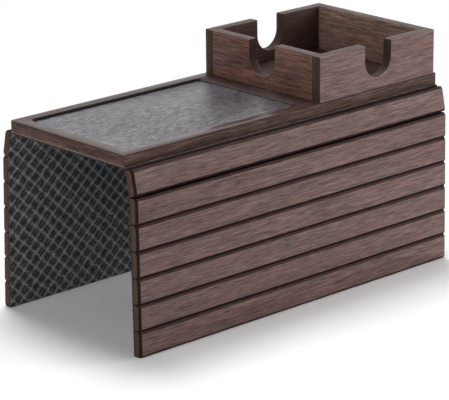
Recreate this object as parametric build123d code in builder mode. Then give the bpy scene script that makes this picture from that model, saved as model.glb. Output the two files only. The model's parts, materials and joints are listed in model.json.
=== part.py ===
from build123d import *
from math import cos, radians, sin
import os

# Sofa arm tray: a board with a sunk panel and a fixed box, and two curtains of slats
# that hang over the sides of the arm on one sheet of lining.
# X runs along the arm with the box at +X, Z is up, and the origin is the middle of the
# face that lies on the arm. The right-hand curtain hangs at -Y, the left-hand one at +Y.

# Board
tray_length = 340.0
tray_width = 135.0
board_thickness = 10.0
board_edge_chamfer = 1.0
board_corner_radius = 2.0
recess_edge_chamfer = 0.4

# Recess in the board, and the panel that is glued into it
rail_width = 12.5
cross_rail_width = 16.5
rim_height = 1.5
panel_thickness = 2.0
panel_clearance = 0.2
recess_corner_radius = 6.0
panel_edge_chamfer = 0.3

# Box on the far end of the board
box_length = 131.5
box_height = 37.0
box_wall_thickness = 9.0
box_side_step = 0.6
box_end_step = 3.0
box_edge_chamfer = 0.5
notch_width = 30.0
notch_floor_height = 9.0

# Slats, and the lining that hinges them
slat_count = 7
slat_pitch = 20.95
slat_gap = 0.4
slat_thickness = 7.0
slat_bevel_width = 1.8
slat_bevel_depth = 1.2
slat_end_chamfer = 1.5
slat_end_step = 0.6
lining_thickness = 1.2
lining_fold_gap = 0.3

# How the curtains hang, in degrees outward from plumb
first_slat_lean = 11.5
right_curtain_lean = 0.8
left_curtain_lean = 2.0

# Sizes that follow from those above
slat_width = slat_pitch - slat_gap
slat_length = tray_length - 2 * slat_end_step
recess_depth = rim_height + panel_thickness
board_bottom = lining_thickness
board_top = board_bottom + board_thickness
box_width = tray_width - 2 * box_side_step
box_back = tray_length / 2 - box_end_step
box_front = box_back - box_length
box_middle = (box_front + box_back) / 2
notch_radius = notch_width / 2
notch_straight = box_height - notch_floor_height - notch_radius
recess_front = rail_width - tray_length / 2
recess_back = box_front - cross_rail_width
recess_middle = (recess_front + recess_back) / 2
recess_length = recess_back - recess_front
recess_width = tray_width - 2 * rail_width

os.makedirs("parts", exist_ok=True)


def save(piece, name):
    """Label a finished piece and write it to its own file."""
    piece.label = name
    export_step(piece, f"parts/{name}.step")


# The board is routed from above for the panel, and its outline is softened all round.
with BuildPart() as tray_board:
    with BuildSketch(Plane.XY.offset(board_bottom)):
        RectangleRounded(tray_length, tray_width, board_corner_radius)
    extrude(amount=board_thickness)
    outline = tray_board.faces().sort_by(Axis.Z)[-1].edges()
    outline += tray_board.faces().sort_by(Axis.Z)[0].edges()
    chamfer(outline, length=board_edge_chamfer)
    with BuildSketch(Plane.XY.offset(board_top)):
        with Locations((recess_middle, 0)):
            RectangleRounded(recess_length, recess_width, recess_corner_radius)
    extrude(amount=-recess_depth, mode=Mode.SUBTRACT)
    rim = tray_board.faces().sort_by(Axis.Z)[-1].inner_wires()[0].edges()
    chamfer(rim, length=recess_edge_chamfer)
save(tray_board.part, "tray_board")

# The panel lies on the floor of the recess, a rim's height below the board's top.
with BuildPart() as inlay_panel:
    with BuildSketch(Plane.XY.offset(board_top - recess_depth)):
        with Locations((recess_middle, 0)):
            RectangleRounded(
                recess_length - 2 * panel_clearance,
                recess_width - 2 * panel_clearance,
                recess_corner_radius - panel_clearance,
            )
    extrude(amount=panel_thickness)
    chamfer(inlay_panel.faces().sort_by(Axis.Z)[-1].edges(), length=panel_edge_chamfer)
save(inlay_panel.part, "inlay_panel")

# The sheet of lining under the board runs out to the first fold on each side.
with BuildPart() as lining_top:
    with BuildSketch(Plane.XY):
        Rectangle(slat_length, tray_width + slat_gap - lining_fold_gap)
    extrude(amount=lining_thickness)
save(lining_top.part, "lining_top")


def box_wall(name, foot, along, outward, length, notched=True, covers_ends=False):
    """A wall that stands on the board with its outer face over foot, softened at its rims.

    A wall that covers the ends of its neighbours has its upright corners softened too.
    """
    outer_face = Plane(origin=foot, x_dir=along, z_dir=outward)
    across = Axis((0, 0, 0), outward)
    lengthwise = Axis((0, 0, 0), along)
    with BuildPart() as wall:
        with BuildSketch(outer_face):
            with Locations((0, box_height / 2)):
                Rectangle(length, box_height)
        extrude(amount=-box_wall_thickness)
        if notched:
            with BuildSketch(outer_face):
                with Locations((0, notch_floor_height + notch_radius)):
                    Circle(notch_radius)
                with Locations((0, box_height - notch_straight / 2)):
                    Rectangle(notch_width, notch_straight)
            extrude(amount=-box_wall_thickness, mode=Mode.SUBTRACT)
        outside = wall.faces().sort_by(across)[-1].edges().sort_by(Axis.Z)[1:]
        inside = wall.faces().sort_by(across)[0].edges().sort_by(Axis.Z)[1:]
        if not covers_ends:
            outside = outside.sort_by(lengthwise)[1:-1]
        chamfer(outside + inside.sort_by(lengthwise)[1:-1], length=box_edge_chamfer)
    save(wall.part, name)


# The side walls run the full length of the box and cover the ends of the other two.
side_wall_y = box_width / 2
inner_width = box_width - 2 * box_wall_thickness
right_foot = (box_middle, -side_wall_y, board_top)
left_foot = (box_middle, side_wall_y, board_top)
front_foot = (box_front, 0, board_top)
back_foot = (box_back, 0, board_top)
box_wall("box_right_wall", right_foot, (1, 0, 0), (0, -1, 0), box_length, covers_ends=True)
box_wall("box_left_wall", left_foot, (-1, 0, 0), (0, 1, 0), box_length, covers_ends=True)
box_wall("box_front_wall", front_foot, (0, -1, 0), (-1, 0, 0), inner_width)
box_wall("box_back_wall", back_foot, (0, 1, 0), (1, 0, 0), inner_width, notched=False)


def slat_lean(side, row):
    """How far the slat in this row, counted from the board, leans out from plumb."""
    if row == 1:
        return first_slat_lean
    return left_curtain_lean if side > 0 else right_curtain_lean


def slat_plane(side, row):
    """The inner face of the lining behind one slat, with its origin on the fold above.

    On this plane Y runs down the curtain and Z points out through the slat.
    """
    fold_y = tray_width / 2 + slat_gap / 2
    fold_z = 0
    for above in range(1, row):
        lean = radians(slat_lean(side, above))
        fold_y += slat_pitch * sin(lean)
        fold_z -= slat_pitch * cos(lean)
    lean = radians(slat_lean(side, row))
    return Plane(
        origin=(0, side * fold_y, fold_z),
        x_dir=(side, 0, 0),
        z_dir=(0, side * cos(lean), sin(lean)),
    )


# Each slat has a bevel all round its outer face and is glued to its own strip of the
# lining. The strips of one curtain are one sheet that bends along the gaps.
for side_name, side in (("right", -1), ("left", 1)):
    for row in range(1, slat_count + 1):
        inner_face = slat_plane(side, row)
        outward = Axis((0, 0, 0), inner_face.z_dir)
        with BuildPart() as slat:
            with BuildSketch(inner_face.offset(lining_thickness)):
                with Locations((0, slat_pitch / 2)):
                    Rectangle(slat_length, slat_width)
            extrude(amount=slat_thickness)
            outer_face = slat.faces().sort_by(outward)[-1]
            chamfer(
                outer_face.edges().filter_by(Axis.X),
                length=slat_bevel_width,
                length2=slat_bevel_depth,
                reference=outer_face,
            )
            bevelled = slat.faces().sort_by(outward)[-3:]
            ends = bevelled.edges().filter_by(Axis.X, reverse=True)
            chamfer(ends, length=slat_end_chamfer)
        save(slat.part, f"slat_{side_name}_{row}")

        # The last strip ends with its slat, and the others at the middle of the gap.
        free_end = slat_gap if row == slat_count else lining_fold_gap
        strip_width = slat_pitch - (lining_fold_gap + free_end) / 2
        with BuildPart() as strip:
            with BuildSketch(inner_face):
                with Locations((0, (lining_fold_gap + strip_width) / 2)):
                    Rectangle(slat_length, strip_width)
            extrude(amount=lining_thickness)
        save(strip.part, f"lining_{side_name}_{row}")
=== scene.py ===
import json
import math
import random
from contextlib import contextmanager

import bmesh
import bpy
from bpy.props import FloatProperty, FloatVectorProperty, IntProperty, PointerProperty
from mathutils import Matrix, Vector


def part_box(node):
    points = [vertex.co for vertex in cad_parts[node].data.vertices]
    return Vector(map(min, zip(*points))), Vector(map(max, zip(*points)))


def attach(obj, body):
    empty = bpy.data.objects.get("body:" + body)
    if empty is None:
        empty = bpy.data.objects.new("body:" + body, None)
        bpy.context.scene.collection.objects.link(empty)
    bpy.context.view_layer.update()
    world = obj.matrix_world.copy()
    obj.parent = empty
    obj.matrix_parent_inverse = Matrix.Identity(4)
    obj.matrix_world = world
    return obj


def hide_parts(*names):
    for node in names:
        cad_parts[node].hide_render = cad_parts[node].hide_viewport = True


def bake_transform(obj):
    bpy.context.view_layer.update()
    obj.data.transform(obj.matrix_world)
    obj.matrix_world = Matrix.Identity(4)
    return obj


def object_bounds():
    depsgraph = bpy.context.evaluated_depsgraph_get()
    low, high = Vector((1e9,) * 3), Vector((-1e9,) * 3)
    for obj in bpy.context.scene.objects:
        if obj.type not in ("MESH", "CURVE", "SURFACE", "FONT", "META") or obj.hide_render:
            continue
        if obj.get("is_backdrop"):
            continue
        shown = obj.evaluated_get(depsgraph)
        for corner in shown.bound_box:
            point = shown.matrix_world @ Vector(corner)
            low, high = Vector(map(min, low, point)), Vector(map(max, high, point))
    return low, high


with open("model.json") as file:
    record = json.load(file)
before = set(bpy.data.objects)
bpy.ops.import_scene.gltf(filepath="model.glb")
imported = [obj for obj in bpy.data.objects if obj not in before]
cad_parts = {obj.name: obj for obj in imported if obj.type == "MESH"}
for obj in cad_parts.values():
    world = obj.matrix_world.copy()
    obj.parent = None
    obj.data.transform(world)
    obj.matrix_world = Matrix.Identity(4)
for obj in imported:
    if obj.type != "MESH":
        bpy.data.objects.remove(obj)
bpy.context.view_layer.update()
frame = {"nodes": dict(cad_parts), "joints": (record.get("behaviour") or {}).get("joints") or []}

# A sofa arm tray: a dark wooden board with a grey panel and a notched box, and two
# curtains of slats that hang over the sides of the arm on one sheet of lattice lining.
# X runs along the arm with the box at +X, and the lining's inner face is at Z 0.

bl_info = {
    "name": "Sofa Arm Tray",
    "version": (1, 0, 0),
    "blender": (4, 5, 0),
    "location": "3D View > Sidebar > Arm Tray",
    "description": "Builds a slatted sofa arm tray with a notched box on its packed frame",
    "category": "Add Mesh",
}

SIDES = {"right": -1, "left": 1}
ROWS = range(1, 8)
X, Y, Z = range(3)

# Places nearer to each other than this, in metres, are one place.
TINY = 0.00002

# A unit vector's share of an axis when it is along the axis, mainly along it or square to it
ALONG = 0.98
MAINLY = 0.9
SQUARE = 0.1

# Faces that meet at more degrees than this make a sharp edge.
SHARP_ANGLE = 30


def length(name, description, default):
    """A length that a user may change, in metres."""
    return FloatProperty(
        name=name, description=description, default=default, min=0.0,
        precision=5, subtype="DISTANCE", unit="LENGTH",
    )


def colour(name, description, default):
    """A colour that a user may change."""
    return FloatVectorProperty(
        name=name, description=description, default=default, min=0.0, max=1.0, subtype="COLOR",
    )


def share(name, description, default):
    """A number from 0 to 1 that a user may change."""
    return FloatProperty(
        name=name, description=description, default=default, min=0.0, max=1.0, subtype="FACTOR",
    )


def angle(name, description, degrees):
    """An angle that a user may change, kept in radians."""
    return FloatProperty(
        name=name, description=description, default=math.radians(degrees), subtype="ANGLE",
    )


class BoardSettings(bpy.types.PropertyGroup):
    """Sizes and colours of the board and the panel in it."""

    rail_width: length("Rail Width", "Width of the rails round the recess", 0.0125)
    corner_radius: length("Corner Radius", "Rounding of the board's upright corners", 0.002)
    edge_bevel: length("Edge Bevel", "Bevel round the board's top and bottom", 0.0007)
    recess_radius: length("Recess Radius", "Rounding of the recess's corners", 0.006)
    slope_width: length("Slope Width", "Width of the slope inside the recess's rim", 0.0026)
    slope_depth: length("Slope Depth", "Depth of that slope", 0.0012)
    panel_gap: length("Panel Gap", "Gap between the panel and the recess", 0.0002)
    panel_bevel: length("Panel Bevel", "Bevel round the panel's top", 0.0003)
    rail_colour: colour("Rail Colour", "Colour of the rails' wood", (0.046, 0.025, 0.022))
    edge_colour: colour("Edge Colour", "Colour of the board's sides", (0.054, 0.030, 0.025))
    rim_colour: colour("Rim Colour", "Colour of the board's bevels", (0.022, 0.013, 0.011))
    # The next two settings give a painted highlight: a pale strip at the foot of the board's ends and
    # on its downward side bevels, where light catches the lower edge
    highlight_strip_height: length("Foot Height", "Height of the worn strip at the foot of the ends", 0.0013)
    foot_highlight_colour: colour("Foot Colour", "Colour of the board's worn foot", (0.150, 0.118, 0.107))
    # Painted shade: the recess's sloping walls along the arm are near black in place of the shade there
    slope_shade_colour: colour("Slope Colour", "Colour of the recess's rim", (0.005, 0.004, 0.004))
    panel_colour: colour("Panel Colour", "Colour of the grey panel", (0.056, 0.051, 0.060))


class BoxSettings(bpy.types.PropertyGroup):
    """Sizes and colours of the box."""

    notch_width: length("Notch Width", "Width of each notch in a wall", 0.030)
    notch_floor: length("Notch Floor", "Height of a notch's lowest point", 0.009)
    edge_bevel: length("Edge Bevel", "Bevel along the walls' edges", 0.0005)
    side_colour: colour("Side Colour", "Colour of the walls along the arm", (0.088, 0.043, 0.038))
    front_colour: colour("Front Colour", "Colour of the walls across the arm", (0.106, 0.051, 0.040))
    # Painted light: the far wall is the front wall's wood made lighter, for the light on its inner face
    back_colour: colour("Back Colour", "Colour of the wall at the far end", (0.138, 0.081, 0.068))
    # Painted shade: the side walls' insides are darker in place of the shade inside the box
    inner_shade_colour: colour("Inner Colour", "Colour of the side walls' insides", (0.044, 0.023, 0.019))
    top_colour: colour("Top Colour", "Colour of the walls' tops", (0.038, 0.019, 0.015))
    end_colour: colour("End Colour", "Colour of the walls' cut ends", (0.046, 0.028, 0.022))


class SlatSettings(bpy.types.PropertyGroup):
    """Sizes and colours of the slats."""

    bevel_width: length("Bevel Width", "Width of the bevels along a slat's long edges", 0.0018)
    bevel_depth: length("Bevel Depth", "Depth of those bevels", 0.0012)
    end_bevel: length("End Bevel", "Bevel across a slat's two ends", 0.0015)
    softening: length("Softening", "Rounding of a slat's sharp edges", 0.0003)
    face_colour: colour("Face Colour", "Colour of the slats' faces", (0.078, 0.040, 0.036))
    bevel_colour: colour("Bevel Colour", "Colour of the slats' bevels", (0.037, 0.020, 0.017))
    # Painted shade: the slats' sides and the bevels turned down the row or to an end get this dark
    # colour in place of the shade in the grooves
    groove_shade_colour: colour("Groove Colour", "Body colour deep in the grooves", (0.018, 0.009, 0.008))
    end_colour: colour("End Colour", "Colour of the slats' ends", (0.056, 0.032, 0.021))
    seed: IntProperty(name="Grain Seed", description="Picks each slat's grain", default=11)


class LiningSettings(bpy.types.PropertyGroup):
    """Sizes and colours of the lining."""

    cell_length: length("Cell Length", "Diamond's size along the arm", 0.0119)
    cell_width: length("Cell Width", "Diamond's size across the arm", 0.0116)
    line_width: length("Line Width", "Width of the raised lines between diamonds", 0.0022)
    relief: length("Relief", "How far the diamonds lie below the lines", 0.00025)
    fold_width: length("Fold Width", "Width of the bend at each hinge", 0.0011)
    line_colour: colour("Line Colour", "Colour of the raised lines", (0.235, 0.237, 0.248))
    cell_colour: colour("Cell Colour", "Colour of the sunk diamonds", (0.026, 0.027, 0.030))
    edge_colour: colour("Edge Colour", "Colour of the cut edges", (0.044, 0.034, 0.032))
    back_colour: colour("Back Colour", "Colour of the back", (0.020, 0.016, 0.014))
    # Painted highlight: pale strips on the first fold, in place of light caught on the bend
    crease_highlight_colour: colour("Crease Colour", "Colour of the worn first fold", (0.170, 0.137, 0.124))


class StageSettings(bpy.types.PropertyGroup):
    """The camera, the lights and the floor."""

    azimuth: angle("Azimuth", "Turn of the camera round the tray, from -Y towards +X", -42.705)
    elevation: angle("Elevation", "Height of the camera above the horizon", 17.616)
    roll: angle("Roll", "Turn of the camera about its own line of sight", -0.561)
    distance: length("Distance", "From the camera to its aim", 2.102)
    aim: FloatVectorProperty(
        name="Aim", description="The point that the camera looks at",
        default=(0.0, 0.0073, -0.0781), precision=5, subtype="XYZ_LENGTH", unit="LENGTH",
    )
    lens: FloatProperty(
        name="Lens", description="Focal length of the camera", default=207.6, min=1.0,
        subtype="DISTANCE_CAMERA", unit="CAMERA",
    )
    floor_colour: colour("Floor Colour", "Colour of the floor", (0.90, 0.90, 0.90))
    flag: share("Left Flag", "Share of the even light kept on the dark left side", 0.30)
    shade: share("Ambient Light", "Strength of the even light from all round", 0.22)


SETTINGS = {
    "tray_board": BoardSettings,
    "tray_box": BoxSettings,
    "tray_slats": SlatSettings,
    "tray_lining": LiningSettings,
    "tray_stage": StageSettings,
}


# Modelling


def select_only(piece):
    """Leave one piece selected and active."""
    bpy.ops.object.select_all(action="DESELECT")
    piece.select_set(True)
    bpy.context.view_layer.objects.active = piece


def add_block(name, low, high):
    """A block between two corners, with its place in its mesh."""
    bpy.ops.object.select_all(action="DESELECT")
    bpy.ops.mesh.primitive_cube_add(size=1, location=(low + high) / 2, scale=high - low)
    block = bpy.context.object
    block.name = block.data.name = name
    bpy.ops.object.transform_apply(location=True, rotation=True, scale=True)
    return block


@contextmanager
def selected(piece, kind="FACE", wanted=lambda part: True):
    """Edit a piece with those of its vertices, edges or faces selected that wanted() accepts."""
    select_only(piece)
    bpy.ops.object.mode_set(mode="EDIT")
    bpy.ops.mesh.select_mode(type=kind)
    bpy.ops.mesh.select_all(action="DESELECT")
    shape = bmesh.from_edit_mesh(piece.data)
    parts = {"VERT": shape.verts, "EDGE": shape.edges, "FACE": shape.faces}[kind]
    chosen = [part for part in parts if wanted(part)]
    if not chosen:
        raise RuntimeError(f"{piece.name} has nothing to work on here")
    for part in chosen:
        part.select_set(True)
    shape.select_flush_mode()
    bmesh.update_edit_mesh(piece.data)
    yield
    bpy.ops.object.mode_set(mode="OBJECT")


def cut_square(axis, place, sign=1, **options):
    """Cut what is selected square to an axis. The sign says which way the cut faces."""
    at = [0, 0, 0]
    facing = [0, 0, 0]
    at[axis] = place
    facing[axis] = sign
    bpy.ops.mesh.bisect(plane_co=at, plane_no=facing, **options)


def bevel_edges(piece, wanted, width, segments=1):
    """Bevel the edges that wanted() accepts."""
    with selected(piece, "EDGE", wanted):
        bpy.ops.mesh.bevel(offset=width, segments=segments, affect="EDGES", clamp_overlap=False)


def soften(piece, width, degrees=25, segments=2):
    """Ease every edge of a piece whose faces meet at more than this angle."""
    select_only(piece)
    bevel = piece.modifiers.new("softening", "BEVEL")
    bevel.width = width
    bevel.segments = segments
    bevel.limit_method = "ANGLE"
    bevel.angle_limit = math.radians(degrees)
    bpy.ops.object.modifier_apply(modifier=bevel.name)


def smooth(piece, degrees=SHARP_ANGLE):
    """Shade a piece smoothly where its faces meet at less than this angle."""
    select_only(piece)
    bpy.ops.object.shade_smooth_by_angle(angle=math.radians(degrees))


def middle(edge):
    """The middle of an edge."""
    return (edge.verts[0].co + edge.verts[1].co) / 2


def direction(edge):
    """The direction of an edge."""
    return (edge.verts[1].co - edge.verts[0].co).normalized()


def is_upright(edge):
    """Whether an edge stands upright."""
    return abs(direction(edge).z) > ALONG


def lies_at(edge, axis, value):
    """Whether an edge lies in the plane where this coordinate has this value."""
    return all(abs(vertex.co[axis] - value) < TINY for vertex in edge.verts)


def dress(piece, body, finishes, pick, plank=0.0):
    """Give each face of a piece the finish that pick() names, and set the piece on its body.

    The plank number shifts the grain, so that no two pieces are cut from the same place.
    """
    for finish in finishes.values():
        piece.data.materials.append(finish)
    names = list(finishes)
    for face in piece.data.polygons:
        face.material_index = names.index(pick(face))
    shift = piece.data.attributes.new("plank", "FLOAT", "POINT")
    shift.data.foreach_set("value", [plank] * len(piece.data.vertices))
    if body:
        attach(piece, body)


# Places on the hanging curtains, read from the frame's hinges


def fold_line(side, row):
    """A point on the hinge above this row, on the lining's inner face."""
    name = f"{side}_fold_{row}"
    return Vector(next(joint["pos_m"] for joint in frame["joints"] if joint["name"] == name))


def row_down(side, row):
    """The direction down the slat of this row, with row 0 as the board."""
    if row == 0:
        return Vector((0, SIDES[side], 0))
    upper = min(row, ROWS[-1] - 1)
    return (fold_line(side, upper + 1) - fold_line(side, upper)).normalized()


def row_out(side, row):
    """The direction out from the lining through the slat of this row."""
    down = row_down(side, row)
    return Vector((0, -down.z * SIDES[side], down.y * SIDES[side]))


def slat_space(side, row):
    """The slat's box from its fold: lowest and highest along X, down the row and outward."""
    fold = fold_line(side, row)
    axes = (Vector((1, 0, 0)), row_down(side, row), row_out(side, row))
    corners = [vertex.co - fold for vertex in frame["nodes"][f"slat_{side}_{row}"].data.vertices]
    low = Vector([min(corner.dot(axis) for corner in corners) for axis in axes])
    high = Vector([max(corner.dot(axis) for corner in corners) for axis in axes])
    return low, high


# Materials, whose scales are features to a metre

# The range that most of a noise's values lie in
MOST_NOISE = (0.3, 0.7)

# How far apart in the grain the planks with numbers one apart lie, in metres
PLANK_STEP = (0.93, 0.37, 0.51)


class Nodes:
    """A material's or a world's nodes, and a few short ways to add to them."""

    def __init__(self, owner):
        owner.use_nodes = True
        self.tree = owner.node_tree

    def node(self, kind, inputs, output=0, **options):
        """Add a node, set its options, set or join up its inputs, and give one of its outputs."""
        node = self.tree.nodes.new(kind)
        for name, value in options.items():
            setattr(node, name, value)
        for name, value in inputs.items():
            self.feed(node.inputs[name], value)
        return node.outputs[output]

    def feed(self, socket, value):
        """Join a socket to an output, or set it."""
        if isinstance(value, bpy.types.NodeSocket):
            self.tree.links.new(value, socket)
        elif socket.type == "RGBA":
            socket.default_value = (*value[:3], 1.0)
        else:
            socket.default_value = value

    def place(self):
        """The Object coordinates, in metres."""
        return self.node("ShaderNodeTexCoord", {}, "Object")

    def math(self, operation, *values):
        """A Math node."""
        return self.node("ShaderNodeMath", dict(enumerate(values)), operation=operation)

    def span(self, value, low, high, start=0.0, end=1.0):
        """The value spread from low..high to start..end, and held there outside."""
        return self.node("ShaderNodeMapRange", dict(enumerate((value, low, high, start, end))))

    def from_whole(self, value):
        """How far the value is from the nearest whole number."""
        return self.math("PINGPONG", value, 0.5)

    def stretched(self, place, scale):
        """Coordinates multiplied along each axis."""
        return self.node("ShaderNodeVectorMath", {0: place, 1: scale}, operation="MULTIPLY")

    def noise(self, place, scale, detail=3.0, rough=0.55, swirl=0.0):
        """Noise with this many features to a metre along each axis."""
        inputs = {
            "Vector": self.stretched(place, scale), "Scale": 1.0,
            "Detail": detail, "Roughness": rough, "Distortion": swirl,
        }
        return self.node("ShaderNodeTexNoise", inputs)

    def ramp(self, value, stops):
        """A colour ramp through stops of place and colour."""
        output = self.node("ShaderNodeValToRGB", {0: value})
        elements = output.node.color_ramp.elements
        for place, tone in stops:
            ends = {0.0: elements[0], 1.0: elements[-1]}
            element = ends.get(place) or elements.new(place)
            element.color = (*tone, 1.0)
        return output

    def mix(self, factor, first, second, blend="MIX"):
        """Two colours mixed. A Mix node has them at inputs 6 and 7, and the mix at output 2."""
        inputs = {0: factor, 6: first, 7: second}
        return self.node("ShaderNodeMix", inputs, 2, data_type="RGBA", blend_type=blend)

    def shade(self, tone, amount):
        """A colour multiplied by a value."""
        return self.mix(1.0, tone, amount, blend="MULTIPLY")


class Finish(Nodes):
    """A material in the making."""

    def __init__(self, name):
        self.material = bpy.data.materials.new(name)
        super().__init__(self.material)
        self.tree.nodes.clear()
        self.output = self.tree.nodes.new("ShaderNodeOutputMaterial")
        self.shader = self.tree.nodes.new("ShaderNodeBsdfPrincipled")
        self.feed(self.output.inputs["Surface"], self.shader.outputs["BSDF"])

    def surface(self, inputs):
        """Feed the shader's inputs."""
        for name, value in inputs.items():
            self.feed(self.shader.inputs[name], value)

    def bump(self, height, strength, distance):
        """Bump for the shader from a height, over this distance in metres."""
        inputs = {"Height": height, "Strength": strength, "Distance": distance}
        self.surface({"Normal": self.node("ShaderNodeBump", inputs)})


def times(tone, amount):
    """A colour made lighter or darker."""
    return tuple(min(1.0, channel * amount) for channel in tone)


def along(axis, lengthwise, across):
    """Scales for a pattern that runs along an axis."""
    return tuple(lengthwise if axis == each else across for each in (X, Y, Z))


def wood(name, body, axis, gloss, shine, contrast=1.0, rings=0.0, ply=0.0):
    """Dark stained wood whose grain runs along an axis.

    Broad figure, fine fibres, dark pores, pale flecks and reddish patches make the colour,
    and rings and ply add a wide face's wavy lines and a sawn edge's level lines.
    """
    finish = Finish(name)
    place = finish.place()
    plank = finish.node("ShaderNodeAttribute", {}, "Vector", attribute_name="plank")
    inputs = {0: plank, 1: PLANK_STEP, 2: place}
    place = finish.node("ShaderNodeVectorMath", inputs, operation="MULTIPLY_ADD")
    figure = finish.noise(place, along(axis, 15.0, 330.0), detail=4.0, swirl=0.3)
    fibres = finish.noise(place, along(axis, 60.0, 1250.0), rough=0.75)
    patches = finish.noise(place, along(axis, 13.0, 110.0))
    pores = finish.noise(place, along(axis, 75.0, 1500.0), detail=2.0)

    dark = times(body, 1.0 - 0.18 * contrast)
    light = times(body, 1.0 + 0.22 * contrast)
    red = (body[0] * 1.22, body[1] * 0.86, body[2] * 0.80)
    deep = times(body, 0.45)
    stops = [(0.0, dark), (0.5, body), (1.0, light)]
    tone = finish.ramp(finish.span(figure, *MOST_NOISE), stops)
    tone = finish.mix(finish.span(patches, 0.52, 0.72, 0.0, 0.45 * contrast), tone, red)
    if rings:
        inputs = {
            "Vector": finish.stretched(place, along(axis, 0.10, 1.0)),
            "Scale": 90.0, "Distortion": 11.0, "Detail": 4.0, "Detail Scale": 2.4,
        }
        waves = finish.node("ShaderNodeTexWave", inputs, "Fac", bands_direction="Z")
        tone = finish.mix(finish.span(waves, 0.15, 0.75, rings, 0.0), tone, deep)
    if ply:
        layers = finish.noise(place, along(Z, 1500.0, 6.0), detail=1.0)
        tone = finish.mix(finish.span(layers, 0.50, 0.62, 0.0, ply), tone, deep)

    fibre_range = (0.34, 0.68)
    streaks = finish.span(fibres, *fibre_range, 1.0 - 0.32 * contrast, 1.0 + 0.80 * contrast)
    pits = finish.span(pores, 0.56, 0.68, 0.0, 0.30 * contrast)
    flecks = finish.span(pores, 0.30, 0.44, 0.28 * contrast, 0.0)
    tone = finish.mix(pits, finish.shade(tone, streaks), times(body, 0.35))
    finish.surface({
        "Base Color": finish.mix(flecks, tone, times(body, 2.2)),
        "Specular IOR Level": finish.span(fibres, *fibre_range, shine * 0.6, shine * 1.4),
        "Roughness": finish.span(fibres, *MOST_NOISE, gloss + 0.09, gloss - 0.05),
    })
    height = finish.math("SUBTRACT", fibres, pits)
    finish.bump(height, strength=0.22, distance=0.00025)
    return finish.material


def grey_laminate(name, body):
    """The panel's grey woodgrain: short pale and dark streaks along the arm."""
    cloud_share = 0.15
    figure_range = (0.40, 0.61)
    finish = Finish(name)
    place = finish.place()
    streaks = finish.noise(place, along(X, 140.0, 950.0), rough=0.6)
    clouds = finish.noise(place, along(X, 10.0, 60.0), swirl=0.4)
    threads = finish.noise(place, along(X, 150.0, 2300.0), detail=1.0)
    figure = finish.math("MULTIPLY", streaks, 1.0 - cloud_share)
    figure = finish.math("ADD", figure, finish.math("MULTIPLY", clouds, cloud_share))

    stops = [(0.0, times(body, 0.20)), (0.45, times(body, 0.75)), (1.0, times(body, 2.7))]
    warm = (body[0] * 1.10, body[1] * 0.96, body[2] * 0.92)
    deep = times(body, 0.45)
    tone = finish.ramp(finish.span(figure, *figure_range), stops)
    tone = finish.mix(finish.span(clouds, 0.50, 0.66, 0.0, 0.35), tone, warm)
    finish.surface({
        "Base Color": finish.mix(finish.span(threads, 0.62, 0.72, 0.0, 0.4), tone, deep),
        "Roughness": finish.span(streaks, *MOST_NOISE, 0.40, 0.27),
        "Specular IOR Level": finish.span(figure, *figure_range, 0.40, 0.94),
    })
    finish.bump(streaks, strength=0.65, distance=0.0005)
    return finish.material


def lattice_cloth(name, settings):
    """The lining's face: pale raised lines over dark diamonds of fine ribs.

    The pattern follows the cloth's own flat measurements, which are its UV map in metres.
    """
    ribs_to_a_cell = 3.0
    finish = Finish(name)
    flat = finish.node("ShaderNodeUVMap", {}, uv_map="flat")
    parts = finish.node("ShaderNodeSeparateXYZ", {0: flat}).node.outputs
    lengthwise = finish.math("DIVIDE", parts["X"], settings.cell_length)
    across = finish.math("DIVIDE", parts["Y"], settings.cell_width)
    nearest = []
    for operation, scale in (("ADD", (150.0, 110.0, 1.0)), ("SUBTRACT", (110.0, 150.0, 1.0))):
        wander = finish.span(finish.noise(flat, scale), 0.25, 0.75, -0.15, 0.15)
        count = finish.math("ADD", finish.math(operation, lengthwise, across), wander)
        nearest.append(finish.from_whole(count))
    line = finish.math("MINIMUM", *nearest)
    crossing = finish.math("MAXIMUM", *nearest)
    reach = settings.line_width / settings.cell_length
    raised = finish.span(line, reach * 0.15, reach * 1.05, 1.0, 0.0)
    knots = finish.math("MULTIPLY", raised, finish.span(crossing, 0.05, 0.28, 1.0, 0.0))
    diagonal = finish.math("ADD", lengthwise, across)
    ribs = finish.from_whole(finish.math("MULTIPLY", diagonal, ribs_to_a_cell))
    worn = finish.span(finish.noise(flat, (230.0, 230.0, 1.0), detail=2.0), 0.40, 0.62)
    ribs = finish.math("MULTIPLY", finish.span(ribs, 0.12, 0.40), worn)
    faded = finish.span(finish.noise(flat, (330.0, 330.0, 1.0)), 0.34, 0.66, 0.25, 1.2)
    raised = finish.math("MULTIPLY", raised, faded)
    fuzz = finish.noise(flat, (900.0, 900.0, 1.0))

    rib_colour = times(settings.line_colour, 0.62)
    knot_colour = times(settings.line_colour, 1.25)
    tone = finish.mix(finish.math("MULTIPLY", ribs, 0.9), settings.cell_colour, rib_colour)
    tone = finish.mix(raised, tone, settings.line_colour)
    tone = finish.mix(knots, tone, knot_colour)
    finish.surface({
        "Base Color": finish.shade(tone, finish.span(fuzz, *MOST_NOISE, 0.42, 1.62)),
        "Roughness": 0.86,
        "Specular IOR Level": 0.25,
        "Sheen Weight": 0.08,
    })
    relief = finish.math("ADD", ribs, raised)
    height = finish.math("ADD", finish.math("MULTIPLY", fuzz, 0.5), relief)
    finish.bump(height, strength=0.35, distance=0.00025)
    return finish.material


def plain_cloth(name, body):
    """The lining's back, cut edges and the first fold's painted highlight: close felted fibres."""
    finish = Finish(name)
    place = finish.place()
    fibres = finish.noise(place, along(X, 900.0, 1400.0), rough=0.7)
    clumps = finish.noise(place, along(X, 160.0, 160.0), detail=2.0)
    tone = finish.mix(finish.span(clumps, 0.35, 0.65), times(body, 0.75), times(body, 1.15))
    finish.surface({
        "Base Color": finish.shade(tone, finish.span(fibres, *MOST_NOISE, 0.75, 1.25)),
        "Roughness": 0.9,
        "Specular IOR Level": 0.2,
    })
    finish.bump(fibres, strength=0.4, distance=0.0003)
    return finish.material


# Pieces


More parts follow.
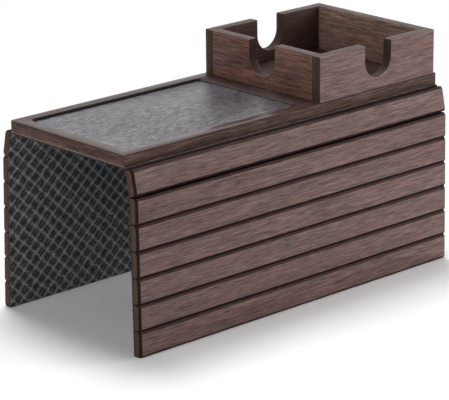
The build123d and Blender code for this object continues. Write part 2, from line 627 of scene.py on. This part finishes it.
class TRAY_OT_board(bpy.types.Operator):
    """Model the board with its four rails and the sloping rim of its recess."""

    bl_idname = "arm_tray.board"
    bl_label = "Board"

    def execute(self, context):
        settings = context.scene.tray_board
        low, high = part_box("tray_board")
        panel_low, panel_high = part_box("inlay_panel")
        slope = settings.slope_width
        recess_floor = panel_low.z
        recess_start = low.x + settings.rail_width - slope
        recess_end = panel_high.x + settings.panel_gap + slope
        rail_inside = high.y - settings.rail_width + slope
        highlight_top = low.z + settings.highlight_strip_height
        board = add_block("board", low, high)

        def rim_distance(spot):
            """How far inside the board's outline a point lies."""
            return min(high.x - abs(spot.x), high.y - abs(spot.y))

        def is_top(face):
            return face.normal.z > ALONG

        def is_between_rails(face):
            return is_top(face) and abs(face.calc_center_median().y) < rail_inside

        def is_recess(face):
            return is_between_rails(face) and recess_start < face.calc_center_median().x < recess_end

        cuts = [(is_top, Y, -rail_inside), (is_top, Y, rail_inside)]
        cuts += [(is_between_rails, X, recess_start), (is_between_rails, X, recess_end)]
        for wanted, axis, place in cuts:
            with selected(board, "FACE", wanted):
                cut_square(axis, place)
        with selected(board, "FACE", is_recess):
            bpy.ops.mesh.inset(thickness=slope, depth=-settings.slope_depth)
            drop = recess_floor + settings.slope_depth - high.z
            bpy.ops.mesh.extrude_region_move(TRANSFORM_OT_translate={"value": (0, 0, drop)})

        def is_recess_corner(edge):
            level = abs(direction(edge).z) < SQUARE
            return not level and rim_distance(middle(edge)) > settings.rail_width / 2

        def is_board_corner(edge):
            return is_upright(edge) and rim_distance(middle(edge)) < TINY

        def is_outline(edge):
            level = lies_at(edge, Z, high.z) or lies_at(edge, Z, low.z)
            return level and rim_distance(middle(edge)) < settings.corner_radius / 2

        bevel_edges(board, is_recess_corner, settings.recess_radius, segments=8)
        bevel_edges(board, is_board_corner, settings.corner_radius, segments=5)
        bevel_edges(board, is_outline, settings.edge_bevel, segments=2)
        with selected(board, "FACE", lambda face: abs(face.normal.z) < SQUARE):
            cut_square(Z, highlight_top)
        smooth(board)

        rail = settings.rail_colour
        edge = settings.edge_colour
        foot = settings.foot_highlight_colour
        finishes = {
            "rail": wood("board_rail", rail, X, gloss=0.25, shine=0.31, contrast=0.5),
            "near": wood("board_near_rail", rail, Y, gloss=0.32, shine=0.26, contrast=0.5),
            # Painted shade: the rail beside the box is the rails' wood at half its colour, for the
            # box's shade on it
            "cross": wood("board_cross_rail_shade", times(rail, 0.5), Y, gloss=0.45, shine=0.12),
            "edge": wood("board_edge", edge, X, gloss=0.55, shine=0.15, contrast=1.5, ply=0.45),
            "end": wood("board_end", edge, Y, gloss=0.55, shine=0.15, contrast=1.5),
            "rim": wood("board_rim", settings.rim_colour, X, gloss=0.55, shine=0.15),
            # Painted shade: near-black walls along the recess's rim
            "slope": wood("board_slope_shade", settings.slope_shade_colour, X, gloss=0.6, shine=0.02),
            # Painted highlight: the pale foot strip on the ends and the pale downward bevels along the
            # sides
            "foot": wood("board_foot_highlight", foot, X, gloss=0.6, shine=0.1, contrast=1.5),
            "side_highlight": wood("board_side_highlight", foot, X, gloss=0.6, shine=0.1, contrast=3.0),
        }

        def pick(face):
            at_end = abs(face.normal.x) > abs(face.normal.y)
            # Recess walls along the arm get the painted shade
            if rim_distance(face.center) > settings.rail_width / 2 and not is_top(face):
                return "rim" if at_end else "slope"
            # Ends below the highlight line, and downward bevels along the sides, get the painted
            # highlight
            if abs(face.normal.z) < SQUARE:
                if at_end:
                    return "foot" if face.center.z < highlight_top else "end"
                return "edge"
            if face.normal.z < MAINLY:
                return "side_highlight" if face.normal.z < 0 and not at_end else "rim"
            if abs(face.center.y) < rail_inside and face.center.z > recess_floor + TINY:
                # The rail beside the box gets the painted shade
                return "cross" if face.center.x > 0 else "near"
            return "rail"

        dress(board, "tray", finishes, pick)
        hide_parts("tray_board")
        return {"FINISHED"}


class TRAY_OT_panel(bpy.types.Operator):
    """Model the grey panel that lies in the board's recess."""

    bl_idname = "arm_tray.panel"
    bl_label = "Panel"

    def execute(self, context):
        settings = context.scene.tray_board
        low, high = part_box("inlay_panel")
        panel = add_block("panel", low, high)
        radius = settings.recess_radius - settings.panel_gap
        bevel_edges(panel, is_upright, radius, segments=8)
        bevel_edges(panel, lambda edge: lies_at(edge, Z, high.z), settings.panel_bevel, segments=2)
        smooth(panel)
        finishes = {"grey": grey_laminate("panel_laminate", settings.panel_colour)}
        dress(panel, "tray", finishes, lambda face: "grey")
        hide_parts("inlay_panel")
        return {"FINISHED"}


class TRAY_OT_box(bpy.types.Operator):
    """Model the four walls of the box, three of them with a notch."""

    bl_idname = "arm_tray.box"
    bl_label = "Box"

    # The first wall's plank number, and how many flat sides a notch's cutter has
    first_plank = 0.37
    notch_sides = 96

    def execute(self, context):
        settings = context.scene.tray_box
        end = settings.end_colour
        ends = wood("box_end_grain", end, X, gloss=0.5, shine=0.15, contrast=0.6)
        cuts = wood("box_notch_cut", times(end, 0.9), X, gloss=0.5, shine=0.08, contrast=0.5)
        side_face = wood(
            "box_side_face", settings.side_colour, X, gloss=0.4, shine=0.57, contrast=1.4, rings=0.3
        )
        front_face = wood(
            "box_front_face", settings.front_colour, Y, gloss=0.45, shine=0.22, contrast=1.9, rings=0.3
        )
        # Painted light: the far wall's wood is lighter than the front wall's
        back_face_lightened = wood(
            "box_back_face_lightened", settings.back_colour, Y, gloss=0.45, shine=0.25, contrast=1.5, rings=0.3
        )
        side = {
            "face": side_face,
            # Painted shade on the side walls' insides
            "inner": wood("box_side_inner_shade", settings.inner_shade_colour, X, gloss=0.5, shine=0.2),
            "top": wood("box_side_top", settings.top_colour, X, gloss=0.42, shine=0.25),
        }
        cross_top = wood("box_front_top", settings.top_colour, Y, gloss=0.42, shine=0.25)
        walls = {
            "front": (Y, True, {"face": front_face, "top": cross_top}),
            "back": (Y, False, {"face": back_face_lightened, "top": cross_top}),
            "right": (X, True, side),
            "left": (X, True, side),
        }
        for number, (place, (run, notched, made)) in enumerate(walls.items()):
            finishes = {**made, "end": ends, "cut": cuts}
            self.wall(place, run, notched, finishes, self.first_plank + number)
        return {"FINISHED"}

    def wall(self, place, run, notched, finishes, plank):
        """One wall, which runs along the X or the Y axis."""
        settings = bpy.context.scene.tray_box
        node = f"box_{place}_wall"
        low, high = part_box(node)
        centre = (low + high) / 2
        through = Y if run == X else X
        radius = settings.notch_width / 2
        wall = add_block(f"box_{place}", low, high)
        if notched:
            arc_height = low.z + settings.notch_floor + radius
            self.cut_notch(wall, run, Vector((centre.x, centre.y, arc_height)), radius, high.z)

        def is_exposed(edge):
            at_foot = lies_at(edge, Z, low.z)
            at_end = lies_at(edge, run, low[run]) or lies_at(edge, run, high[run])
            covered = run == Y and at_end
            across = abs(direction(edge)[through]) > ALONG
            sharp = len(edge.link_faces) == 2 and edge.calc_face_angle() > math.radians(SHARP_ANGLE)
            return sharp and not at_foot and not covered and (at_end or not across)

        bevel_edges(wall, is_exposed, settings.edge_bevel, segments=2)
        smooth(wall)

        def pick(face):
            spot = face.center
            if spot.z > high.z - TINY:
                return "top"
            if abs(face.normal[through]) < SQUARE:
                if notched and abs(spot[run] - centre[run]) < radius + TINY:
                    return "cut"
                if abs(face.normal[run]) > MAINLY:
                    return "end"
            # The side walls' inward faces get the painted shade
            faces_in = face.normal.y * centre.y < 0
            return "inner" if run == X and faces_in else "face"

        dress(wall, "tray", finishes, pick, plank)
        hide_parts(node)

    def cut_notch(self, wall, run, centre, radius, top):
        """Cut a notch with a round floor through a wall, open to its top."""
        turn = [0, 0, 0]
        turn[run] = math.pi / 2
        bpy.ops.object.select_all(action="DESELECT")
        bpy.ops.mesh.primitive_cylinder_add(
            vertices=self.notch_sides, radius=radius, depth=4 * radius, location=centre, rotation=turn
        )
        cutter = bpy.context.object
        bpy.ops.object.transform_apply(location=True, rotation=True, scale=True)
        with selected(cutter, "VERT", lambda vertex: vertex.co.z > centre.z - TINY):
            bpy.ops.transform.translate(value=(0, 0, top - centre.z + TINY))
        select_only(wall)
        cut = wall.modifiers.new("notch", "BOOLEAN")
        cut.operation = "DIFFERENCE"
        cut.solver = "EXACT"
        cut.object = cutter
        bpy.ops.object.modifier_apply(modifier=cut.name)
        bpy.data.objects.remove(cutter)


class TRAY_OT_slats(bpy.types.Operator):
    """Model one bevelled slat, and hang a copy of it on every row of both curtains."""

    bl_idname = "arm_tray.slats"
    bl_label = "Slats"

    # The range of the slats' plank numbers, and how far a bevel may turn down the row or to an
    # end, as a share of its normal, before it gets the painted shade of the grooves
    planks = (1.0, 9.0)
    shade_turn = 0.3

    def execute(self, context):
        settings = context.scene.tray_slats
        low, high = slat_space("right", 1)
        slat = add_block("slat", low, high)

        def is_long(edge):
            return lies_at(edge, Z, high.z) and abs(direction(edge).x) > ALONG

        def is_bevel_foot(vertex):
            return abs(vertex.co.z - high.z + settings.bevel_width) < TINY

        def is_end(edge):
            at_end = lies_at(edge, X, low.x) or lies_at(edge, X, high.x)
            return at_end and middle(edge).z > high.z - settings.bevel_depth

        bevel_edges(slat, is_long, settings.bevel_width)
        with selected(slat, "VERT", is_bevel_foot):
            bpy.ops.transform.translate(value=(0, 0, settings.bevel_width - settings.bevel_depth))
        bevel_edges(slat, is_end, settings.end_bevel)
        soften(slat, settings.softening)
        smooth(slat, degrees=20)

        groove_shade = settings.groove_shade_colour
        finishes = {
            "face": wood("slat_face", settings.face_colour, X, gloss=0.4, shine=0.47, contrast=1.4),
            "bevel": wood("slat_bevel", settings.bevel_colour, X, gloss=0.55, shine=0.08, contrast=0.7),
            # Painted shade in the grooves between slats
            "groove_shade": wood("slat_groove_shade", groove_shade, X, gloss=0.6, shine=0.05, contrast=0.5),
            "end": wood("slat_end", settings.end_colour, X, gloss=0.55, shine=0.12, contrast=0.6),
        }

        def pick(face):
            if face.normal.z > ALONG:
                return "face"
            if abs(face.normal.x) > ALONG:
                return "end"
            turned = max(face.normal.y, abs(face.normal.x)) > self.shade_turn
            return "groove_shade" if turned or face.normal.z < SQUARE else "bevel"

        chance = random.Random(settings.seed)
        for side in SIDES:
            for row in ROWS:
                piece = slat.copy()
                piece.data = slat.data.copy()
                piece.name = piece.data.name = f"slat_{side}_row_{row}"
                context.scene.collection.objects.link(piece)
                dress(piece, None, finishes, pick, chance.uniform(*self.planks))
                down = row_down(side, row)
                out = row_out(side, row)
                lengthwise = down.cross(out)
                turn = Matrix((lengthwise, down, out)).transposed().to_4x4()
                piece.data.transform(Matrix.Translation(fold_line(side, row)) @ turn)
                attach(piece, f"{side}_row_{row}")
                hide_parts(f"slat_{side}_{row}")
        bpy.data.objects.remove(slat)
        return {"FINISHED"}


class TRAY_OT_lining(bpy.types.Operator):
    """Weave the lattice lining flat, cut it at mid-slat, and fold each strip at its hinge."""

    bl_idname = "arm_tray.lining"
    bl_label = "Lining"

    # How many strips a fold bends in, how many of the first fold's strips are painted pale as a
    # highlight, and the angle under which faces are shaded as one
    fold_strips = 5
    highlight_strips = 2
    smoothing = 18

    def execute(self, context):
        settings = context.scene.tray_lining
        self.pitch = (fold_line("right", 3) - fold_line("right", 2)).length
        self.reach = abs(fold_line("right", 1).y)
        slat_low, slat_high = slat_space("right", 1)
        self.fold_width = settings.fold_width
        self.thickness = slat_low.z
        self.half_length = (slat_high.x - slat_low.x) / 2
        self.bottom = self.reach + len(ROWS) * self.pitch - slat_low.y
        self.finishes = {
            "lattice": lattice_cloth("lining_lattice", settings),
            "edge": plain_cloth("lining_edge", settings.edge_colour),
            "back": plain_cloth("lining_back", settings.back_colour),
            # Painted highlight on the first fold's pale strips
            "crease": plain_cloth("lining_crease_highlight", settings.crease_highlight_colour),
        }
        flat = self.weave(settings)
        inner = self.reach - self.pitch / 2
        self.strip(flat, "lining_under_board", -inner, inner)
        for side in SIDES:
            for row in ROWS:
                start = self.reach + (row - 1.5) * self.pitch
                end = self.bottom if row == ROWS[-1] else start + self.pitch
                ends = sorted((SIDES[side] * start, SIDES[side] * end))
                self.strip(flat, f"lining_{side}_fold_{row}", *ends, side, row)
        bpy.data.objects.remove(flat)
        return {"FINISHED"}

    def weave(self, settings):
        """The whole lining as a flat sheet, its face down, with a sunk diamond in each cell."""
        half_diagonal = self.half_length + self.bottom
        cells = 2 * math.ceil(half_diagonal / settings.cell_length)
        bpy.ops.object.select_all(action="DESELECT")
        bpy.ops.mesh.primitive_grid_add(
            x_subdivisions=cells, y_subdivisions=cells, size=cells * math.sqrt(0.5)
        )
        flat = bpy.context.object
        flat.name = "lining_flat"
        with selected(flat):
            bpy.ops.transform.rotate(value=math.pi / 4, orient_axis="Z", center_override=(0, 0, 0))
            cell = (settings.cell_length, settings.cell_width, 1)
            bpy.ops.transform.resize(value=cell, center_override=(0, 0, 0))
            bpy.ops.mesh.extrude_region_move(TRANSFORM_OT_translate={"value": (0, 0, self.thickness)})
            bpy.ops.mesh.select_all(action="SELECT")
            bpy.ops.mesh.normals_make_consistent(inside=False)
        with selected(flat, "FACE", lambda face: face.normal.z < -MAINLY):
            bpy.ops.mesh.inset(
                thickness=settings.line_width / 2, depth=-settings.relief, use_individual=True
            )
        for sign in (-1, 1):
            self.trim(flat, X, sign * self.half_length, sign)
        return flat

    def trim(self, sheet, axis, place, sign):
        """Cut a sheet square at a place on an axis and drop what lies beyond it."""
        with selected(sheet):
            cut_square(axis, place, sign, use_fill=True, clear_outer=True)

    def strip(self, flat, name, start, end, side=None, row=None):
        """The part of the flat lining from start to end across the arm, hung in its place."""
        piece = flat.copy()
        piece.data = flat.data.copy()
        piece.name = piece.data.name = name
        bpy.context.scene.collection.objects.link(piece)
        self.trim(piece, Y, start, -1)
        self.trim(piece, Y, end, 1)
        if side:
            self.crease(piece, SIDES[side] * (self.reach + (row - 1) * self.pitch))
        self.map_flat(piece)

        fold_start = self.reach - self.fold_width / 2
        highlight_end = fold_start + self.fold_width * self.highlight_strips / self.fold_strips

        def pick(face):
            if face.normal.z < -SQUARE:
                return "lattice"
            if face.normal.z < MAINLY:
                return "edge"
            # The first fold's pale strips are a painted highlight
            return "crease" if fold_start < abs(face.center.y) < highlight_end else "back"

        dress(piece, None if side else "tray", self.finishes, pick)
        if not side:
            smooth(piece, self.smoothing)
            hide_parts("lining_top")
            return
        for vertex in piece.data.vertices:
            vertex.co = self.hung(vertex.co, side)
        smooth(piece, self.smoothing)
        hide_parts(f"lining_{side}_{row}")
        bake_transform(piece)

    def crease(self, piece, fold):
        """Cut lines across a strip at its fold, so that it can bend there."""
        with selected(piece):
            for step in range(self.fold_strips + 1):
                bpy.ops.mesh.select_all(action="SELECT")
                cut_square(Y, fold + self.fold_width * (step / self.fold_strips - 0.5))

    def map_flat(self, piece):
        """Keep where each corner is on the flat cloth as its UV map, in metres."""
        for old in list(piece.data.uv_layers):
            piece.data.uv_layers.remove(old)
        flat_map = piece.data.uv_layers.new(name="flat")
        for loop in piece.data.loops:
            flat_map.data[loop.index].uv = piece.data.vertices[loop.vertex_index].co.xy

    def hung(self, point, side):
        """Where a point of the flat lining is once the curtain hangs.

        From the lowest fold up, each fold that the point lies beyond turns it about its line.
        """
        place = Vector(point)
        beyond = abs(point.y) - self.reach
        for row in reversed(ROWS):
            fold = (row - 1) * self.pitch
            turned = min(1.0, max(0.0, (beyond - fold) / self.fold_width + 0.5))
            if turned:
                upper = row_down(side, row - 1)
                full = math.acos(min(1.0, upper.dot(row_down(side, row))))
                line = Vector((0, SIDES[side] * (self.reach + fold), 0))
                turn = Matrix.Rotation(-SIDES[side] * full * turned, 3, "X")
                place = line + turn @ (place - line)
        return place


class TRAY_OT_stage(bpy.types.Operator):
    """Set the floor, the backdrop, the lights and the camera."""

    bl_idname = "arm_tray.stage"
    bl_label = "Stage"

    # How far the floor lies below the tray, its radius and number of sides, and how far from
    # its middle it starts to turn white and is white
    floor_gap = 0.0002
    floor_radius = 6.0
    floor_sides = 96
    white_edge = (0.21, 0.42)

    # The X of a direction at which the light is dimmest on the left, and at which it is full
    flag_edge = (-0.75, 0.1)

    def execute(self, context):
        settings = context.scene.tray_stage
        self.floor(settings)
        self.world(settings)
        self.lamp("top_softbox", place=(0.35, 0.75, 2.35), size=1.05, power=54.0)
        self.lamp("right_softbox", place=(1.98, -1.24, 1.00), size=1.2, power=18.0)
        self.lamp("front_softbox", place=(0.6, -2.4, 0.6), size=1.4, power=10.0)
        self.lamp("left_softbox", place=(-2.1, -0.4, 1.1), size=1.4, power=25.0)
        self.lamp("low_fill", place=(0.28, -0.42, -0.12), size=0.16, power=0.75, mirrored=False)
        self.camera(settings)
        context.scene.view_settings.view_transform = "Standard"
        return {"FINISHED"}

    def floor(self, settings):
        """A wide pale floor that turns plain white further out."""
        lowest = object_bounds()[0].z
        bpy.ops.object.select_all(action="DESELECT")
        bpy.ops.mesh.primitive_circle_add(
            vertices=self.floor_sides, radius=self.floor_radius,
            location=(0, 0, lowest - self.floor_gap), fill_type="NGON",
        )
        floor = bpy.context.object
        floor.name = "floor"
        finish = Finish("floor_paper")
        finish.surface({
            "Base Color": settings.floor_colour, "Roughness": 0.9, "Specular IOR Level": 0.1,
        })
        place = finish.place()
        away = finish.node("ShaderNodeVectorMath", {0: place}, "Value", operation="LENGTH")
        rays = finish.node("ShaderNodeLightPath", {}).node.outputs
        seen = finish.math("MAXIMUM", rays["Is Camera Ray"], rays["Is Glossy Ray"])
        fade = finish.math("MULTIPLY", seen, finish.span(away, *self.white_edge))
        paper = finish.shader.outputs["BSDF"]
        white = finish.node("ShaderNodeEmission", {})
        paper = finish.node("ShaderNodeMixShader", {0: fade, 1: paper, 2: white})
        below = finish.node("ShaderNodeNewGeometry", {}, "Backfacing")
        clear = finish.node("ShaderNodeBsdfTransparent", {})
        paper = finish.node("ShaderNodeMixShader", {0: below, 1: paper, 2: clear})
        finish.feed(finish.output.inputs["Surface"], paper)
        floor.data.materials.append(finish.material)
        floor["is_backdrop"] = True

    def world(self, settings):
        """White for what is seen directly or mirrored, and an even light on everything else."""
        world = bpy.data.worlds.new("studio")
        nodes = Nodes(world)
        rays = nodes.node("ShaderNodeLightPath", {}).node.outputs
        around = nodes.node("ShaderNodeTexCoord", {}, "Generated")
        parts = nodes.node("ShaderNodeSeparateXYZ", {0: around}).node.outputs
        flagged = nodes.span(parts["X"], *self.flag_edge, settings.flag, 1.0)
        even = nodes.span(flagged, 0.0, 1.0, 0.0, settings.shade)
        mirrored = nodes.span(rays["Is Glossy Ray"], 0.0, 1.0, even, flagged)
        strength = nodes.span(rays["Is Camera Ray"], 0.0, 1.0, mirrored, 1.0)
        background = nodes.tree.nodes["Background"]
        nodes.feed(background.inputs["Color"], (1, 1, 1))
        nodes.feed(background.inputs["Strength"], strength)
        bpy.context.scene.world = world

    def lamp(self, name, place, size, power, mirrored=True):
        """A square soft light that faces the tray."""
        light = bpy.data.lights.new(name, "AREA")
        light.size = size
        light.energy = power
        lamp = bpy.data.objects.new(name, light)
        lamp.location = place
        lamp.rotation_euler = (-Vector(place)).to_track_quat("-Z", "Y").to_euler()
        lamp.visible_camera = False
        lamp.visible_glossy = mirrored
        bpy.context.scene.collection.objects.link(lamp)

    def camera(self, settings):
        """A long lens at the photograph's angle."""
        data = bpy.data.cameras.new("camera")
        data.lens = settings.lens
        camera = bpy.data.objects.new("camera", data)
        back = Vector((
            math.sin(settings.azimuth) * math.cos(settings.elevation),
            -math.cos(settings.azimuth) * math.cos(settings.elevation),
            math.sin(settings.elevation),
        ))
        camera.location = Vector(settings.aim) + back * settings.distance
        turn = (-back).to_track_quat("-Z", "Y").to_matrix() @ Matrix.Rotation(settings.roll, 3, "Z")
        camera.rotation_euler = turn.to_euler()
        bpy.context.scene.collection.objects.link(camera)
        bpy.context.scene.camera = camera


OPERATORS = (TRAY_OT_board, TRAY_OT_panel, TRAY_OT_box, TRAY_OT_slats, TRAY_OT_lining, TRAY_OT_stage)


class TRAY_PT_sidebar(bpy.types.Panel):
    """The tray's pieces and their settings, in the 3D view's sidebar."""

    bl_idname = "TRAY_PT_sidebar"
    bl_label = "Arm Tray"
    bl_space_type = "VIEW_3D"
    bl_region_type = "UI"
    bl_category = "Arm Tray"

    def draw(self, context):
        for operator in OPERATORS:
            self.layout.operator(operator.bl_idname)
        for name, group in SETTINGS.items():
            column = self.layout.column(align=True)
            column.label(text=group.__doc__)
            for setting in group.__annotations__:
                column.prop(getattr(context.scene, name), setting)


CLASSES = (*SETTINGS.values(), *OPERATORS, TRAY_PT_sidebar)


def register():
    """Register the classes, and give each scene the tray's settings."""
    for item in CLASSES:
        bpy.utils.register_class(item)
    for name, group in SETTINGS.items():
        setattr(bpy.types.Scene, name, PointerProperty(type=group))


def unregister():
    """Take back what register() added."""
    for name in SETTINGS:
        delattr(bpy.types.Scene, name)
    for item in reversed(CLASSES):
        bpy.utils.unregister_class(item)


def main():
    """Build every piece and the stage."""
    register()
    for operator in OPERATORS:
        group, call = operator.bl_idname.split(".")
        getattr(getattr(bpy.ops, group), call)()


if __name__ == "__main__":
    main()
